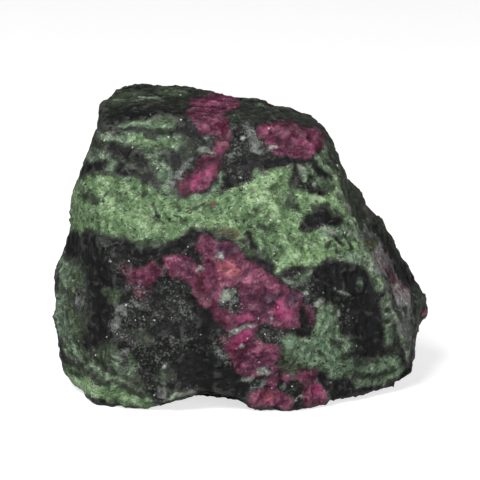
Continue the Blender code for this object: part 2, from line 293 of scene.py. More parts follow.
    ("hornblende", [(11.1, -12.2, 0.4), (11, -14.8, 0.5)]),
    # between the rubies and the green low on the right
    ("salted", [(10.8, -7.4, 1.4), (13.4, -8.6, 1.3)]),
    ("greygreen", [(9.4, -7.4, 0.8), (12.6, -5.7, 0.9)]),
    ("pale", [(7.8, -7.2, 0.4), (9.2, -7, 0.4)]),
    ("salted", [(4.5, -17, 1.5), (7.2, -17, 1.4)]),
    ("moss", [(7.4, -19.6, 1.2), (8.4, -22, 1.3), (10.2, -22.8, 0.8)]),
    ("hornblende", [(12.4, -16.6, 1.2), (9.6, -16.4, 0.8)]),
    # the lower rubies
    ("ruby", [(1.8, -16.2, 1.3), (0.3, -17.6, 1.9), (-0.8, -19.2, 2), (0.6, -21, 2.4), (3, -20.6, 2.6),
        (5, -20, 1.7)]),
    ("mauve", [(1, -22.8, 1.7), (4.5, -22.3, 1.5)]),
    ("magenta", [(0.8, -16.6, 0.9), (-0.8, -18.6, 0.9)]),
    ("pink", [(3.9, -19.4, 1)]),
    ("white", [(-1.6, -16.6, 0.4), (-0.2, -15.6, 0.5), (0.6, -15, 0.5), (2.2, -15.4, 0.3)],
        [(0.6, -18.8, 0.3)]),
    ("faint", [(-3.2, -17.5, 1)]),
    # a pale grey line along the edge of a ledge, a painted highlight where it catches the light
    ("grey rock", [(-4.8, -18.2, 0.9), (-3.6, -20.5, 1), (-2.2, -22.3, 0.8)]),
    ("mauve", [(5.8, -24.3, 1), (6.6, -22.4, 0.6)]),
    ("faint", [(8.5, -24.3, 1.2)]),
    ("grey rock", [(2.6, -26.4, 1.1), (3.6, -24.9, 0.9)]),
    ("white", [(3.8, -22.9, 0.4), (5, -23, 0.4)], [(4.5, -24.4, 0.4), (3.9, -25.7, 0.4)]),
    ("pale", [(0.4, -24.5, 0.4), (2.5, -24.1, 0.4)]),
    # the rubies in the foot
    ("ruby", [(2.6, -28.4, 1.3), (5.5, -27.6, 2), (8.3, -28.6, 1.2)]),
    ("crimson", [(5.4, -26.3, 0.6)]),
    ("orange", [(5.6, -27.4, 0.7)]),
    ("pink", [(3, -27.8, 0.7)]),
    ("grey rock", [(7.9, -25.8, 0.8)]),
    ("ruby", [(11.4, -23.9, 1.1), (13.2, -23.4, 1)], [(12.6, -28.3, 1.3), (13, -26.6, 2.1),
        (14.6, -27.4, 1.3)]),
    ("pink", [(12.6, -27.2, 1.1), (14.4, -27.2, 0.9)]),
    ("magenta", [(13.2, -26.2, 1.1)]),
    ("white", [(13, -25, 0.3), (14.8, -25, 0.3)]),
    ("pale", [(15.6, -26.8, 0.4), (16.8, -28, 0.4)]),
    # the dark crack between the two rubies of the foot, painted shade
    ("hornblende", [(9.8, -27, 0.5), (10.6, -29, 0.6)]),
    ("white", [(10.7, -27.6, 0.3), (9.6, -28.6, 0.2)]),
    # the green and the black low on the right
    ("hornblende", [(13.5, -6.5, 1.4), (16.5, -6, 2.4), (20, -6.8, 2.2), (22.2, -8.3, 1.7)],
        [(16.5, -9, 2), (21, -10.5, 3.2), (22.3, -15, 2.8), (22.5, -18.2, 2.4)]),
    ("grey rock", [(17.5, -8.7, 0.6), (19.5, -9.2, 0.5)]),
    ("greygreen", [(21, -7.2, 0.5)]),
    ("salted", [(17.5, -12.8, 1.3), (19.4, -14, 1.1)]),
    ("pale", [(14.3, -11.2, 0.8), (15.5, -12.4, 0.6)]),
    ("lowgreen", [(15.4, -13, 1.2), (15.2, -15.5, 1.9), (13.8, -17.8, 1.7)], [(9, -18.2, 1.4),
        (12, -19.6, 2.4), (15.5, -21, 2.5), (17.3, -23, 1.7)], [(19.5, -22.5, 1.7), (23, -23.2, 2),
        (26.5, -22.3, 1.9), (28.6, -21.5, 1)]),
    ("greygreen", [(17, -17.2, 1), (18.8, -18.6, 1.2)], [(20.5, -25.4, 0.6), (25, -25.2, 0.6)]),
    ("darkgreen", [(16.8, -18.6, 0.8)], [(13.6, -20.2, 0.3), (15.6, -21.6, 0.3)], [(20.5, -21.4, 0.6),
        (24.5, -21.4, 0.4)], [(19.8, -23.2, 0.6), (22, -24, 0.5), (25, -23.6, 0.5), (27.2, -22.6, 0.3)]),
    ("hornblende", [(14.8, -24.3, 0.8), (16.8, -26.2, 1.2), (20, -27.3, 0.9), (24.5, -26.6, 0.5)]),
    ("white", [(17, -13.1, 0.4), (16.5, -13.4, 0.3)], [(19, -12.2, 0.3)], [(17.9, -11.8, 0.3)],
        [(15.9, -25.2, 0.3)]),
    # the pale edge of the ridge, painted as a highlight along it, and the right flank, both lined along
    # the ridge
    ("slate", [(15.8, 17, 0.6), (18.5, 10.5, 1.8), (22.5, 5, 2.4), (26, -1.2, 2.6), (28.8, -6.5, 2.4),
        (31.5, -10.5, 2.2), (31, -18, 2)], [(19.4, 5.6, 0.8), (20.6, 3.2, 1)]),
    ("ash", [(22.6, 2, 0.7), (24.6, -2, 1.3)]),
    ("blush", [(25, -3, 1.7), (27.8, -8, 2.4), (28.8, -12, 1.6)]),
    ("grey rock", [(29, -13.5, 1.7), (29.6, -19, 1.2)]),
    ("slate", [(25.9, -12, 0.8), (26.6, -16, 1.2), (27.2, -19, 1.1)]),
    ("greygreen", [(25.4, -10.8, 0.6), (26.2, -15, 0.8), (26, -17.8, 0.7)]),
    ("olive", [(23.3, -0.2, 0.8)]),
    ("hornblende", [(24, 2.6, 0.7), (27.2, -2.5, 0.9), (29.8, -7.4, 1)]),
    # the pale line along the ridge, a painted highlight on its edge
    ("ridge", [(15.4, 13, 0.4), (16.6, 10.5, 0.5), (18.7, 5.5, 0.7), (20.9, 0.9, 0.7), (23.6, -4.4, 0.6),
        (25.6, -8.6, 0.4), (27.2, -13, 0.4), (28.9, -17.4, 0.4), (29.5, -21.8, 0.4)]),
    ("slate", [(25.6, -6.6, 0.3), (26.9, -10, 0.3), (28.4, -14, 0.3)]),
    ("hornblende", [(28.5, -19.5, 0.4), (29.5, -22.6, 0.4)], [(26, -12.1, 0.4)], [(26, -14.3, 0.5)]),
    ("faint", [(26.5, -5.2, 0.5), (27.1, -7, 0.5)], [(28.7, -8.4, 0.4)]),
    ("ruby", [(32.6, -13.2, 0.6)]),
    ("white", [(21.1, 3.7, 0.2)]),
    # the layered green of the lower left
    ("slate", [(-30, -19, 1.6), (-25, -22.5, 2.2), (-19, -25.5, 1.8)]),
    ("greygreen", [(-30, -19.2, 1.2), (-26.5, -21.4, 1.4), (-23.5, -23.7, 1.2), (-20, -25.8, 1),
        (-17, -27.8, 0.8)], [(-21.8, -21.4, 1.8), (-19.6, -22.6, 1.5)]),
    ("grey rock", [(-20.5, -20.3, 0.9)]),
    ("zoisite", [(-30, -23.3, 1.3), (-27, -25.7, 1.8), (-23, -27.2, 1.4), (-18.5, -28.4, 1.1),
        (-16, -28.9, 0.7)]),
    ("bright", [(-28.6, -25, 1), (-25.8, -26.6, 1)]),
    ("moss", [(-24.2, -19.7, 1.1), (-22.6, -19.3, 0.8)]),
    ("darkgreen", [(-30.7, -21, 0.5), (-28.5, -22, 0.5), (-26.5, -23.8, 0.5), (-25.2, -24.7, 0.5),
        (-23.2, -25, 0.3), (-21, -25.7, 0.5), (-19, -27, 0.4), (-17.7, -27.6, 0.4)],
        [(-30.6, -22.6, 0.3), (-28.2, -24.4, 0.4)], [(-28.2, -19.4, 0.3), (-26, -20.8, 0.4),
        (-24, -22.5, 0.4), (-22, -23.5, 0.4), (-19.5, -24.6, 0.4), (-17, -25.6, 0.4)]),
    # the pale lip of the arch, with a painted rim of light along its edge, and painted glints
    ("pale", [(-15.5, -29.2, 0.3), (-12.3, -28.2, 0.4), (-8.8, -27, 0.5), (-6, -27.2, 0.3),
        (-2.5, -27.8, 0.3)]),
    ("white", [(-22.8, -4, 0.3)], [(-30.6, -3.9, 0.4)], [(-13.2, -22.7, 0.3)]),
]
RIGHT = [
    # black above and below the green band, which comes round from the front
    ("schist", [(-2, 22, 2.5), (6, 23, 3), (14, 22.5, 3), (19, 19, 2)]),
    ("hornblende", [(-1, 17.5, 2), (6, 18.5, 2), (11, 18.8, 1.5)]),
    ("salted", [(2, 5, 4), (9, 5.5, 4), (16, 6, 3.5), (21, 5, 3)]),
    ("hornblende", [(5, -3, 4), (8, -10, 4), (12, -16, 4), (18, -18, 3.5)]),
    ("salted", [(4, -17, 3.5), (9, -20.5, 3), (15, -21.5, 2)]),
    ("zoisite", [(-3.5, 11.5, 2), (1, 12.5, 2.6), (6, 13.5, 3.2), (12, 13.8, 3.8), (20, 13, 4)]),
    ("bright", [(5, 13, 1.2), (9, 14.2, 1.4), (14, 13.4, 1.6)]),
    ("greygreen", [(1, 16.2, 0.9), (6, 16.8, 1), (14, 17.8, 1.2)]),
    ("hornblende", [(3, 11.2, 0.7), (6.5, 11.6, 0.5)]),
    ("darkgreen", [(10, 15.6, 0.6), (13.5, 15.8, 0.5)]),
    ("moss", [(15, 11, 1.2), (19, 10.5, 1.5)]),
    ("zoisite", [(11, -6.5, 1.6), (14.5, -9, 2.6), (20, -11.5, 3)]),
    ("bright", [(15, -9, 1), (19, -10.6, 1.2)]),
    ("lowgreen", [(3, -26, 1.6), (9, -25.8, 2), (15, -25.5, 2.2), (21, -23.5, 2.6)]),
    ("darkgreen", [(5, -25, 0.5), (10, -25.6, 0.6), (14, -24.6, 0.5)]),
    ("pale", [(0, -27.8, 0.5), (5, -28, 0.5), (11, -27.8, 0.4)]),
    # a cluster of rubies in the black, and smaller ones about it
    ("ruby", [(5.5, 3.6, 1.3), (8.4, 2.2, 2.2), (11.6, 0.6, 2.6), (14.6, -1.6, 2.3), (16.6, -4.2, 1.5)],
        [(11.5, 3.2, 1.5), (15.2, 2.4, 1.9), (17.6, 0.6, 1.4)]),
    ("mauve", [(12.8, -2.4, 1.3), (15.4, -4, 1)]),
    ("crimson", [(9.6, 3.6, 0.8), (11.4, 2, 0.9)], [(13.6, 0.4, 1)]),
    ("magenta", [(8.2, 1.8, 1.1), (9.6, 0.6, 0.8)]),
    ("pink", [(15.4, 2.6, 0.9), (14.4, -1.8, 0.9)]),
    ("white", [(12.8, 2, 0.4), (13.4, 1.4, 0.3)], [(7, 0.2, 0.3)]),
    ("ash", [(6.6, -1.2, 1), (9.2, -2.6, 1)]),
    ("ruby", [(12.4, 21.6, 1.4), (14.8, 20.6, 1.9), (17, 18.4, 1.3)]),
    ("crimson", [(15.8, 19.6, 0.9)]),
    ("ruby", [(3.2, -12.6, 1), (5, -13.8, 1.3)]),
    ("faint", [(6.8, -14.6, 1)]),
    # the grey of the flank, lined along the ridge
    ("ash", [(-6, -3, 2.2), (-3, -9, 3.4), (-2.5, -17, 3), (-3, -21, 2)]),
    ("slate", [(-1, 0, 1.4), (1.6, -6, 1.4), (2.6, -12, 1)]),
    ("faint", [(-3.4, -5.4, 0.7), (-2.2, -9, 0.8)]),
]
BACK = [
    # black and slate above, speckled black below
    ("schist", [(-12, 18.5, 3), (-4, 20, 3), (6, 21, 3), (16, 21.5, 3), (24, 20, 3)]),
    ("slate", [(-6, 17, 1.6), (4, 17.5, 2), (24, 15, 3)]),
    ("salted", [(-24, -4, 4), (-14, 1, 4.5), (0, -1, 5), (12, -3, 5.5), (27, -6, 5)]),
    ("hornblende", [(-26, -10, 4), (-18, -13, 4), (-8, -16, 4), (2, -15, 4.5)], [(8, -9, 4.5),
        (16, -6, 4), (24, -14, 4.5)]),
    ("salted", [(2, -9, 3), (10, -14, 3.5), (16, -18, 2.5)]),
    ("ash", [(-2, -6, 1.2), (2.5, -7.5, 1.5), (5, -10, 1)]),
    # the green band
    ("zoisite", [(-20, 11, 3.4), (-12, 11.5, 4.4), (-5, 10.4, 4.2), (2, 8.2, 3.2), (9, 8, 2.6)],
        [(9, 8, 2.6), (16, 8.6, 3.4), (23, 7.2, 4), (30.5, 5.4, 3.6)], [(-7, 14.5, 1.6), (-2, 14.8, 1.6),
        (3, 13.2, 1.2)]),
    ("bright", [(-15, 11, 1.6), (-9, 11.8, 2), (-4, 10.6, 1.4)], [(15, 8.4, 1.2), (20, 8.6, 1.6),
        (25, 6.4, 1.2)]),
    ("hornblende", [(-3.2, 7.6, 0.9), (-0.6, 8.2, 0.7)]),
    ("darkgreen", [(10.6, 9.4, 0.6), (13.6, 9.6, 0.5)], [(20, 5.4, 0.8), (23.2, 5, 0.6)]),
    ("greygreen", [(12, 12.4, 1), (18, 13.2, 1.2), (25, 11.8, 1.4)]),
    ("moss", [(-24, 4, 1.6), (-18, 6.2, 1.4), (-12, 6.4, 1)]),
    # the green along the foot
    ("lowgreen", [(-31, -19, 2), (-25, -22, 3), (-16, -24, 3), (-8, -25, 2.2)], [(8, -25.5, 1.8),
        (16, -24.5, 2.4), (24, -23, 3.2), (30, -18, 2)]),
    ("greygreen", [(-8, -25, 2), (0, -26, 1.6), (8, -25.5, 1.6)]),
    ("bright", [(-26, -22.5, 1.2), (-20, -23.5, 1.4)]),
    ("darkgreen", [(-24, -20, 0.6), (-19, -21.6, 0.6), (-13, -23, 0.6)], [(12, -24, 0.6), (18, -23, 0.7),
        (25, -21.6, 0.7)]),
    ("pale", [(-14, -26.8, 0.4), (-6, -27.4, 0.5), (2, -27.6, 0.4)]),
    # a belt of rubies across the black
    ("ruby", [(-21.6, -2.2, 1.8), (-18.4, -3.6, 2.6), (-14.6, -5, 3), (-10.8, -6.6, 3.2),
        (-7.6, -9.8, 2.6)], [(-7.6, -9.8, 2.6), (-5, -12.6, 2.4), (-3.8, -15.6, 1.8), (-5, -18.2, 1.4)],
        [(-13.4, -1.6, 1.8), (-10.6, -3, 2)]),
    ("mauve", [(-16.4, -6.6, 1.4), (-12.6, -8.6, 1.5), (-9.6, -11.4, 1.2)]),
    ("crimson", [(-19.6, -2.6, 1), (-17.2, -4.2, 0.9)], [(-10, -8.4, 1.2), (-8.2, -10.8, 0.9)]),
    ("plum", [(-12.4, -4, 1.2)]),
    ("magenta", [(-14.8, -4.6, 1.3), (-13, -5.6, 1)]),
    ("pink", [(-6, -11.8, 1.2), (-4.6, -14.4, 0.8)], [(-12.4, -1.4, 0.9)]),
    ("orange", [(-17.4, -2.8, 0.8)]),
    ("white", [(-9, -5, 0.4), (-8, -5.8, 0.5)], [(-11.6, -10.4, 0.4)]),
    ("ash", [(-19.6, -6.8, 1), (-17.6, -8.8, 0.8)]),
    # rubies high and low on the right
    ("ruby", [(9.4, 17.6, 1.6), (12.6, 16.6, 2.5), (16, 17.4, 2.4), (18.6, 18.8, 1.5)]),
    ("crimson", [(11, 16.2, 1), (13.4, 18, 0.8)]),
    ("pink", [(15.8, 17.4, 1.2)]),
    ("white", [(13.8, 16, 0.4)]),
    ("ruby", [(14.6, -10.8, 2), (17.6, -10, 2.6), (20.8, -11.8, 2.5), (21.6, -15, 1.9)], [(17, -14, 1.6),
        (19.4, -17, 1.3)]),
    ("mauve", [(16, -12.6, 1.1), (21.8, -15.6, 1)]),
    ("ruby", [(3.2, 2.2, 1.5), (5.6, 0.8, 1.7)]),
    ("crimson", [(5.8, 0.4, 0.8)]),
    ("faint", [(7.6, -1, 1.2)]),
    ("ruby", [(27.6, -3.2, 1.2), (28.6, -5, 1.2)]),
    ("white", [(0.8, -11.6, 0.3)], [(11.4, -4.6, 0.3)]),
]
LEFT = [
    ("schist", [(-14, 20, 3.5), (-4, 19.5, 3.5), (5, 19, 3)]),
    ("slate", [(-16, 13.5, 2), (-6, 13, 2.4), (2, 13.5, 2)]),
    ("hornblende", [(-20, -2, 4), (-10, -2, 4), (-2, -6, 2.6), (7, -5, 3)]),
    ("salted", [(-17, -12, 5), (-8, -13, 5), (0, -14, 4)]),
    ("zoisite", [(6, 4, 4.2), (-1, 3.4, 4.4), (-6, 5, 3.4), (-12, 6.6, 3), (-19, 6.4, 3.4),
        (-24, 5.4, 3.4)]),
    ("bright", [(2, 5.2, 1.4), (-4, 6.2, 1.2)], [(-12, 6.6, 1), (-18, 6.6, 1.4)]),
    ("hornblende", [(-2.4, 3.6, 0.7), (0.4, 3, 0.6)]),
    ("darkgreen", [(-9.4, 7.6, 0.6), (-6.8, 7.2, 0.5)], [(-16, 4.8, 0.6), (-13.6, 4.6, 0.4)]),
    ("greygreen", [(-20, 12, 1.2), (-12, 10.8, 1), (-4, 10.4, 0.9)], [(-12, 16.8, 0.9), (-5, 16.6, 1),
        (1, 16.8, 0.8)]),
    ("zoisite", [(-16, 17.2, 1.6), (-12.8, 17, 1.4)]),
    ("greygreen", [(3, -12, 2.6), (-1.6, -15, 2.6), (-4.8, -18, 2), (-9, -20, 1.2)]),
    ("darkgreen", [(-0.4, -13.2, 0.6), (-3.4, -16.4, 0.7)]),
    ("ruby", [(-15.2, -3.4, 1.8), (-12.4, -4.6, 2.4), (-9.4, -6.2, 2.4), (-7.4, -8.8, 1.6)],
        [(-12.6, -7.6, 1.4), (-11.2, -9.8, 1.2)]),
    ("crimson", [(-13.4, -5.4, 0.9), (-9.2, -7.6, 0.9)]),
    ("magenta", [(-11.4, -4.4, 1)]),
    ("pink", [(-8.8, -5.6, 0.9)]),
    ("white", [(-10.6, -6.6, 0.4)]),
    ("ash", [(-6, -6, 0.9), (-5.2, -8.2, 0.8)]),
    ("ruby", [(-8.4, 19.6, 1.2), (-6.4, 20.4, 1.5)], [(-19.6, -16, 1.4), (-17.8, -17.6, 1.3)]),
    ("lowgreen", [(-21, -22, 2.4), (-13, -24.5, 2.8), (-5, -25.5, 2.6), (3, -26.5, 2)]),
    ("greygreen", [(-9, -20.6, 1.2), (-2, -21.4, 1.2), (5, -22, 1)]),
    ("darkgreen", [(-16, -22.6, 0.6), (-9, -24, 0.6), (-1, -24.8, 0.6)]),
    ("pale", [(-12, -27, 0.4), (-4, -27.8, 0.5)]),
]
TOP = [
    # crystals that stick out of the sides of the long ruby, and thin breaks in it
    ("ruby", [(-7.6, 10.4, 1.2), (-7.4, 8.6, 1.3)], [(-1.8, 12.4, 1.2), (-1.2, 9.8, 1)]),
    ("hornblende", [(-9.4, 5.8, 0.4), (-7, 4.8, 0.2), (-4.6, 5.6, 0.2), (-2.4, 4.8, 0.4)]),
    ("crimson", [(-6.6, 12.6, 0.6), (-4.6, 11.6, 0.4)]),
    ("magenta", [(-5.8, 8.4, 0.9), (-4.2, 7.4, 0.7)]),
    ("crimson", [(-3.4, 2, 0.8)]),
    ("white", [(-5.2, 9.8, 0.4)]),
    ("ash", [(-2.6, 16.8, 0.7)]),
    ("slate", [(8, 4, 1.4), (12, 6.4, 1.6)]),
    ("greygreen", [(4, 13, 0.9), (9, 11.6, 0.8)], [(-20, 5, 0.8), (-15, 7.6, 0.9)]),
    ("hornblende", [(-22, 0, 1), (-17, 1.4, 0.8)]),
]
UNDER = [
    ("zoisite", [(-30, -6, 4), (-18, -8, 4.5), (-6, -12, 4), (8, -14, 4), (22, -16, 4)], [(-24, 12, 3),
        (-14, 10, 2.4)], [(14, 4, 2.4), (22, 1, 3), (31, -4, 2.6)]),
    ("hornblende", [(-12, 4, 5), (2, 2, 6), (12, -4, 4)]),
    ("salted", [(-8, 14, 3), (4, 9, 4), (18, 10, 3)]),
    ("ruby", [(3, 16.6, 1.8), (5.6, 14.2, 2.4), (8.6, 12, 2.2)], [(13.4, 15, 1.8), (15.6, 12.6, 1.6)]),
    ("crimson", [(6.4, 13, 1)]),
    ("ruby", [(-16.6, -2, 2), (-13.4, -0.4, 2.6), (-10.4, 1.4, 2)]),
    ("crimson", [(-13, 0.2, 1)]),
    ("ruby", [(18, -7.4, 2.2), (21, -9, 2.2)]),
    ("pink", [(20.6, -9, 1)]),
    ("bright", [(-20, -8, 1.4), (-12, -10, 1.6)]),
]
STROKES = {"under": UNDER, "back": BACK, "left": LEFT, "right": RIGHT, "front": FRONT, "top": TOP}
# How wide a stroke's edge is, in millimetres, and at most this many times its half width.
STROKE_EDGE = 1.5
THIN_EDGE = 1.3
# How squarely the stone has to face a side to take its strokes: none below the first value.
FACING = (-0.02, 0.14)
# How far the line where two sides meet rambles.
SEAM_RAMBLE = 0.15

# The wander of a stroke's outline: (size, distance) in millimetres.
WANDERS = [(4.5, 0.8), (1.6, 0.4), (0.8, 0.25)]
SEED = 11

# The layout under the strokes: bands of zoisite in hornblende, stretched along the layers, and
# the size of the pale and the dark clouds in them, in millimetres.
BAND_SIZE = 15.0
BAND_STRETCH = np.array((0.8, 1.0, 1.5))
BAND_SHARE = -0.02
BAND_CONTRAST = 3.0
PALE_SIZE = 5.0
DARK_SIZE = 8.0
DARK_OFFSET = Vector((5, 5, 5))

# Worn edges, lightened as wear and as a painted highlight, and hollows darkened as painted shade:
# how far round a point the surface is averaged, how much of its own place a point keeps each
# time, and the height in millimetres that counts as full.
WEAR_AND_SHADE_PASSES = 14
WEAR_AND_SHADE_HOLD = 0.3
FULL_WEAR_AND_SHADE = 0.12

RELIEF = {
    "Chip size": 1.5 * MM,
    "Chip lean": 0.2,
    "Ruby chip size": 1.9 * MM,
    "Ruby chip lean": 0.14,
    "Ruby stands out": 0.15 * MM,
    "Grain size": 0.7 * MM,
    "Grain height": 0.16 * MM,
}

# The studio: a floor that curves into a wall, and soft lights as (azimuth, elevation, distance
# in metres, size in metres, power in watts).
FLOOR_RADIUS = 1.2
WALL_CURVE = 0.4
WALL_HEIGHT = 0.9
WALL_STEPS = 12
FLOOR_SEGMENTS = 96
LIGHTS = {
    "key light": (-30.0, 48.0, 1.0, 0.4, 11.5),
    "fill light": (35.0, 15.0, 1.2, 0.5, 6.0),
}
AIR_LIGHT = 0.15
FLOOR_GLOW = 0.7
PURE_WHITE = (1.0, 1.0, 1.0, 1.0)

# Shades of the minerals, as sRGB values from 0 to 255.
SHADES = {
    "deep black": (11, 12, 12),
    "black": (31, 31, 31),
    "dark moss": (50, 57, 45),
    "grey grain": (114, 117, 113),
    "deep green": (44, 58, 40),
    "green": (84, 109, 74),
    "light green": (118, 145, 102),
    "pale green": (152, 168, 138),
    "blue green": (92, 112, 98),
    "olive": (92, 80, 54),
    "crimson": (66, 18, 38),
    "ruby": (92, 42, 64),
    "pink": (140, 76, 100),
    "plum": (58, 36, 54),
    "magenta": (130, 40, 84),
    "orange": (166, 92, 92),
    "lilac": (168, 150, 160),
    "white": (205, 208, 202),
    "floor": (188, 188, 188),
}


def linear(name):
    """A shade as the linear colour that a shader takes."""
    parts = [value / 255 for value in SHADES[name]]
    return (*[((c + 0.055) / 1.055) ** 2.4 if c > 0.04045 else c / 12.92 for c in parts], 1.0)


def step_between(low, high, values):
    """0 below low, 1 above high, and a smooth rise between."""
    share = np.clip((values - low) / (high - low), 0.0, 1.0)
    return share * share * (3.0 - 2.0 * share)


# ---- where things are on the stone ----


def side_axes(azimuth, elevation):
    """(right, up, forward) of someone who looks at the target from there."""
    turn = Matrix.Rotation(math.radians(azimuth), 3, "Z")
    tilt = Matrix.Rotation(math.radians(-elevation), 3, "X")
    return [turn @ tilt @ Vector(axis) for axis in ((1, 0, 0), (0, 0, 1), (0, 1, 0))]


def seen_from(points, azimuth, elevation):
    """Where each point shows on the side's plane, in millimetres, and the way it is seen."""
    right, up, forward = (np.array(axis) for axis in side_axes(azimuth, elevation))
    eye = np.array(TARGET) - forward * DISTANCE
    ray = points - eye
    scale = DISTANCE / (ray @ forward) / MM
    places = np.stack([ray @ right * scale, ray @ up * scale], axis=1)
    return places, ray / np.linalg.norm(ray, axis=1)[:, None]


def depth_in_stroke(places, points):
    """How far inside a stroke each place lies, in millimetres, and negative outside it."""
    depth = np.full(len(places), -np.inf)
    for start, end in zip(points, points[1:] or points):
        a, b = np.array(start), np.array(end)
        run = b[:2] - a[:2]
        share = np.clip((places - a[:2]) @ run / max(run @ run, 1e-9), 0.0, 1.0)
        gap = np.linalg.norm(places - a[:2] - share[:, None] * run, axis=1)
        depth = np.maximum(depth, a[2] + share * (b[2] - a[2]) - gap)
    return depth


def wander(points):
    """A small shift of every point, so that outlines ramble as grown minerals do."""
    shift = np.zeros_like(points)
    for size, distance in WANDERS:
        near = [noise.noise_vector(Vector(p) / size) for p in points]
        shift += distance * np.array(near)
    return shift


# ---- the minerals ----


def rock_layout(points):
    """The channels of the rock that no stroke covers, for points in millimetres."""
    channels = {name: np.zeros(len(points)) for name in CHANNELS}
    for i, point in enumerate(points):
        band = noise.fractal(Vector(point * BAND_STRETCH) / BAND_SIZE, 0.8, 2.1, 3)
        fine = noise.noise(Vector(point) / PALE_SIZE)
        channels["green"][i] = BAND_CONTRAST * (band - BAND_SHARE) + 0.5 + 0.3 * fine
        channels["pale"][i] = 0.45 + 0.6 * fine
        channels["dark"][i] = 0.4 - 0.6 * noise.noise(Vector(point) / DARK_SIZE + DARK_OFFSET)
    for name in ("green", "pale", "dark"):
        channels[name] = np.clip(channels[name], 0.0, 1.0)
    return channels


def lay_strokes(channels, points, normals):
    """Lays every side's strokes over the channels."""
    shift = wander(points / MM)
    moved, ramble = points + shift * MM, shift[:, 2]
    for side, strokes in STROKES.items():
        places, rays = seen_from(moved, *SIDES[side])
        facing = SEAM_RAMBLE * ramble - (rays * normals).sum(axis=1)
        facing = step_between(*FACING, facing)
        for mix, stroke in [(mix, stroke) for mix, *group in strokes for stroke in group]:
            edge = min(STROKE_EDGE, THIN_EDGE * max(point[2] for point in stroke))
            cover = step_between(-edge / 2, edge / 2, depth_in_stroke(places, stroke)) * facing
            for name, value in zip(CHANNELS, MIXES[mix]):
                if value is not None:
                    channels[name] += (value - channels[name]) * cover


def wear_and_shade_share(mesh, points, normals):
    """1 on sharp edges, -1 in sharp hollows, and 0 where the surface is flat."""
    ends = np.empty(len(mesh.edges) * 2, int)
    mesh.edges.foreach_get("vertices", ends)
    ends = ends.reshape(-1, 2)
    both = np.concatenate([ends, ends[:, ::-1]])
    count = np.bincount(both[:, 0], minlength=len(points))[:, None]
    level = points.copy()
    for _ in range(WEAR_AND_SHADE_PASSES):
        near = [np.bincount(both[:, 0], level[both[:, 1], axis], len(points)) for axis in range(3)]
        level = WEAR_AND_SHADE_HOLD * level + (1 - WEAR_AND_SHADE_HOLD) * np.stack(near, axis=1) / count
    return np.clip(((points - level) * normals).sum(axis=1) / (FULL_WEAR_AND_SHADE * MM), -1.0, 1.0)


# ---- node trees ----

# How the nodes are set out in the editor.
NODE_GAP = (190, 220)
NODES_ACROSS = 12


class Tree:
    """A node tree, with methods that add a node and fill its inputs."""

    def __init__(self, tree):
        self.tree = tree

    def fill(self, socket, value):
        """Links the value to the socket if another node gives it, and sets it otherwise."""
        if isinstance(value, bpy.types.NodeSocket):
            self.tree.links.new(value, socket)
        else:
            socket.default_value = value

    def add(self, kind, inputs=(), out=0, **settings):
        count = len(self.tree.nodes) + 1
        node = self.tree.nodes.new(kind)
        node.location = (NODE_GAP[0] * (count % NODES_ACROSS), -NODE_GAP[1] * (count // NODES_ACROSS))
        for name, value in settings.items():
            setattr(node, name, value)
        for name, value in inputs.items() if isinstance(inputs, dict) else enumerate(inputs):
            self.fill(node.inputs[name], value)
        return node.outputs[out] if node.outputs else None

    def maths(self, operation, *values):
        return self.add("ShaderNodeMath", values, operation=operation)

    def vector(self, operation, *values, out=0):
        return self.add("ShaderNodeVectorMath", values, out, operation=operation)

    def between(self, value, low, high, to_low=0.0, to_high=1.0):
        """The value as a smooth share of the way from low to high, between two other values."""
        inputs = {"Value": value, "From Min": low, "From Max": high}
        inputs |= {"To Min": to_low, "To Max": to_high}
        return self.add("ShaderNodeMapRange", inputs, interpolation_type="SMOOTHSTEP")

    def blend(self, share, first, second):
        """A colour that goes from the first to the second as share goes from 0 to 1."""
        return self.add("ShaderNodeMix", {0: share, 6: first, 7: second}, 2, data_type="RGBA")

    def scaled(self, vector, factor):
        return self.add("ShaderNodeVectorMath", {0: vector, "Scale": factor}, operation="SCALE")

    def group(self, tree, inputs):
        return self.add("ShaderNodeGroup", inputs, node_tree=tree)


def new_tree(name, kind, inputs, outputs):
    """(tree, its inputs, its outputs) of a new node group with the sockets given."""
    group = bpy.data.node_groups.new(name, kind)
    for direction, sockets in (("INPUT", inputs), ("OUTPUT", outputs)):
        for socket, socket_kind in sockets.items():
            group.interface.new_socket(socket, in_out=direction, socket_type=f"NodeSocket{socket_kind}")
    start = group.nodes.new("NodeGroupInput")
    end = group.nodes.new("NodeGroupOutput")
    return Tree(group), start.outputs, end.inputs


# The middle of the range of a random colour.
MIDDLE = (0.5, 0.5, 0.5)


def cells(tree, vector, size):
    """(the middle of the cell that a point lies in, how far off it is as a share of the size)."""
    scale = tree.maths("DIVIDE", 1.0, size)
    distance = tree.add("ShaderNodeTexVoronoi", {"Vector": vector, "Scale": scale}, "Distance")
    return distance.node.outputs["Position"], distance


def ragged_mask():
    inputs = {"Vector": "Vector", "Amount": "Float", "Size": "Float", "Raggedness": "Float"}
    inputs["Softness"] = "Float"
    tree, given, ends = new_tree("Ragged mask", "ShaderNodeTree", inputs, {"Mask": "Float"})
    scale = tree.maths("DIVIDE", 1.0, given["Size"])
    rough = {"Vector": given["Vector"], "Scale": scale, "Detail": 5.0, "Roughness": 0.75}
    drift = tree.maths("MULTIPLY_ADD", tree.add("ShaderNodeTexNoise", rough), 4.0, -2.0)
    reach = tree.maths("MULTIPLY", given["Raggedness"], tree.between(given["Amount"], 0.0, 0.3))
    level = tree.maths("MULTIPLY_ADD", drift, reach, given["Amount"])
    low = tree.maths("SUBTRACT", 0.5, given["Softness"])
    high = tree.maths("ADD", 0.5, given["Softness"])
    tree.fill(ends["Mask"], tree.between(level, low, high))
    return tree.tree


